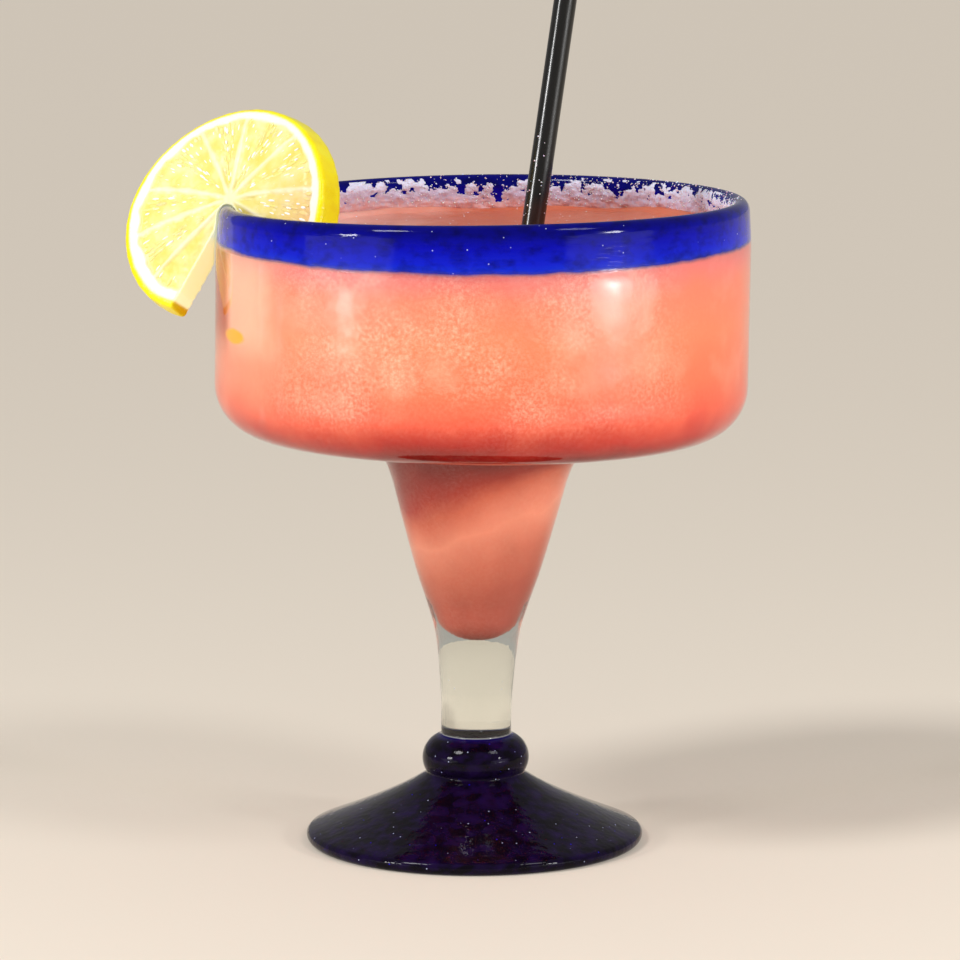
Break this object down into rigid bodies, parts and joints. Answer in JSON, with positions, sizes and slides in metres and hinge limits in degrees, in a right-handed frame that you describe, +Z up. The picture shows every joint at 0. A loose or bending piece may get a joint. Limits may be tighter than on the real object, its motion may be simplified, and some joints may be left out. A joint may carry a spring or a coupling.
{
  "type": "frozen cocktail",
  "caption": "Frozen coral-pink cocktail in a stemmed hand-blown goblet with a cobalt rim, knop and foot, a black straw and a lemon wheel slit onto the rim.",
  "frame": {"origin": "middle of the foot's flat underside, on the surface that the glass stands on", "axes": "+Z up; -Y is the front of the picture; +X is the picture's right, so the lemon wheel is at -X"},
  "size_m": [0.1485, 0.1266, 0.2095],
  "materials": {
    "glass": "fire-polished hand-blown glass, clear in the bowl and stem, cobalt blue in the rim, knop and foot",
    "frozen_drink": "icy coral-pink slush, moist and finely grained",
    "straw": "glossy black extruded plastic",
    "lemon_wheel": "wet pale-yellow flesh, white pith and waxy yellow zest"
  },
  "bodies": {
    "root": {"glass": "glass", "frozen_drink": "frozen_drink", "straw": "straw", "lemon_wheel": "lemon_wheel"}
  },
  "joints": []
}
